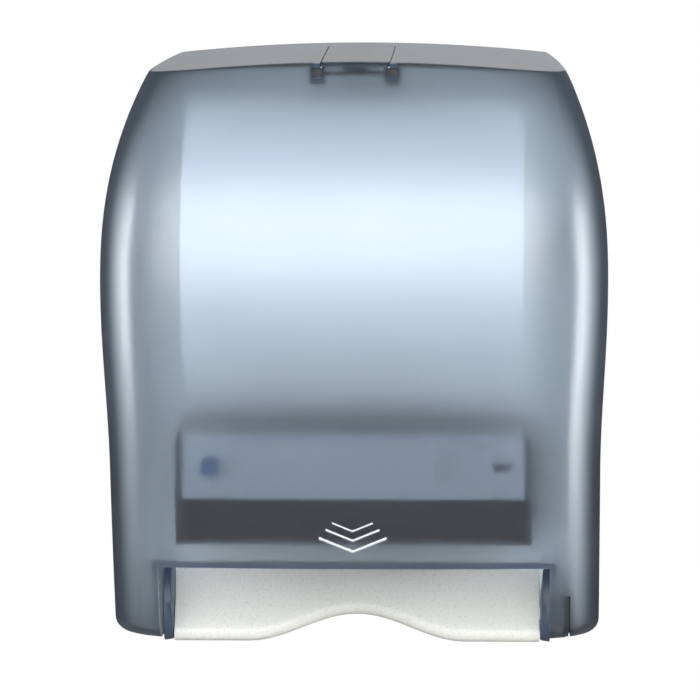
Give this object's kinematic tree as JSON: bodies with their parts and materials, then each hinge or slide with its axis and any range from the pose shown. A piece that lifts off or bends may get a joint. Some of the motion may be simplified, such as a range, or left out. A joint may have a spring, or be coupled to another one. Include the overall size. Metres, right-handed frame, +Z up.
{
  "type": "automatic roll towel dispenser",
  "caption": "Wall-mounted dispenser with a translucent hinged cover over a paper towel roll, a motor-driven roller, a flared chute nose and a tear bar.",
  "frame": {"origin": "middle of the wall screw pattern, on the wall face of the back plate", "axes": "+X to the right seen from the front, +Y into the wall, +Z up; the front faces -Y"},
  "size_m": [0.302, 0.231, 0.361],
  "materials": {
    "cover_blue": "translucent slate blue, glossy",
    "hinge_blue": "dark blue moulding",
    "granite": "off-white with fine speckle",
    "module_grey": "fine moulded texture, mid grey",
    "black_plastic": "fine moulded texture",
    "steel": "plain",
    "bronze": "sintered bronze",
    "cell_jacket": "plain printed jacket",
    "circuit_board": "solder mask",
    "sensor_window": "dark infrared window",
    "towel_paper": "soft embossed tissue",
    "core_board": "wound board",
    "nylon": "natural",
    "roller_rubber": "matte",
    "button_blue": "satin"
  },
  "bodies": {
    "base": {"back_plate": "granite", "chassis": "black_plastic", "chute_nose": "granite", "throat_guide": "black_plastic", "tear_bar": "steel", "tear_bar_screws": "steel", "module_housing": "module_grey", "d_cells": "cell_jacket", "battery_contacts": "steel", "control_board": "circuit_board", "sensor_lens": "sensor_window", "sensor_board": "circuit_board", "motor": "steel", "idler_pin": "steel", "gear_guard": "black_plastic", "pinch_springs": "steel", "shaft_bushes": "bronze", "hinge_pins": "steel", "arm_pins": "steel", "chassis_screws": "steel", "paper_web": "towel_paper"},
    "cover": {"front_cover": "cover_blue", "hinge_lugs": "hinge_blue"},
    "latch": {"latch_tab": "cover_blue"},
    "left_arm": {"left_arm": "black_plastic", "left_hub": "nylon"},
    "right_arm": {"right_arm": "black_plastic", "right_hub": "nylon"},
    "roll": {"roll_core": "core_board", "paper_roll": "towel_paper"},
    "drive_roller": {"drive_shaft": "steel", "drive_sleeves": "roller_rubber", "drive_gear": "nylon"},
    "pinch_roller": {"pinch_shaft": "steel", "pinch_sleeves": "roller_rubber"},
    "idler": {"idler_gear": "nylon"},
    "pinion": {"motor_pinion": "bronze"},
    "button": {"feed_button": "button_blue"},
    "length_slider": {"length_switch": "black_plastic"},
    "door": {"battery_door": "module_grey", "door_contact": "steel"}
  },
  "joints": [
    {"name": "cover_hinge", "type": "hinge", "parent": "base", "child": "cover", "pos_m": [0, -0.131, -0.171], "axis": [1, 0, 0], "range_deg": [0, 100]},
    {"name": "latch_press", "type": "hinge", "parent": "cover", "child": "latch", "pos_m": [0, -0.1725, 0.1616], "axis": [-1, 0, 0], "range_deg": [0, 3], "stiffness_Nm_per_rad": 6},
    {"name": "left_arm_flex", "type": "hinge", "parent": "base", "child": "left_arm", "pos_m": [-0.1065, -0.014, 0.053], "axis": [0, 0, -1], "range_deg": [0, 6], "stiffness_Nm_per_rad": 3},
    {"name": "right_arm_flex", "type": "hinge", "parent": "base", "child": "right_arm", "pos_m": [0.1065, -0.014, 0.053], "axis": [0, 0, 1], "range_deg": [0, 6], "stiffness_Nm_per_rad": 3},
    {"name": "roll_spin", "type": "hinge", "parent": "base", "child": "roll", "pos_m": [0, -0.118, 0.053], "axis": [1, 0, 0], "continuous": true},
    {"name": "drive_spin", "type": "hinge", "parent": "base", "child": "drive_roller", "pos_m": [0, -0.088, -0.092], "axis": [1, 0, 0], "continuous": true},
    {"name": "pinch_spin", "type": "hinge", "parent": "base", "child": "pinch_roller", "pos_m": [0, -0.112, -0.092], "axis": [1, 0, 0], "continuous": true},
    {"name": "idler_spin", "type": "hinge", "parent": "base", "child": "idler", "pos_m": [0, -0.0505, -0.092], "axis": [1, 0, 0], "continuous": true},
    {"name": "pinion_spin", "type": "hinge", "parent": "base", "child": "pinion", "pos_m": [0, -0.02675, -0.092], "axis": [1, 0, 0], "continuous": true},
    {"name": "feed_press", "type": "slide", "parent": "base", "child": "button", "axis": [0, 1, 0], "range_m": [0, 0.0015], "stiffness_N_per_m": 400},
    {"name": "length_slide", "type": "slide", "parent": "base", "child": "length_slider", "axis": [1, 0, 0], "range_m": [-0.0025, 0.0025]},
    {"name": "door_slide", "type": "slide", "parent": "base", "child": "door", "axis": [1, 0, 0], "range_m": [0, 0.012]}
  ],
  "couplings": [
    {"joint": "drive_spin", "follows": "roll_spin", "ratio": -7.1429},
    {"joint": "pinch_spin", "follows": "roll_spin", "ratio": 11.111},
    {"joint": "idler_spin", "follows": "roll_spin", "ratio": 10.714},
    {"joint": "pinion_spin", "follows": "roll_spin", "ratio": -18.367}
  ]
}
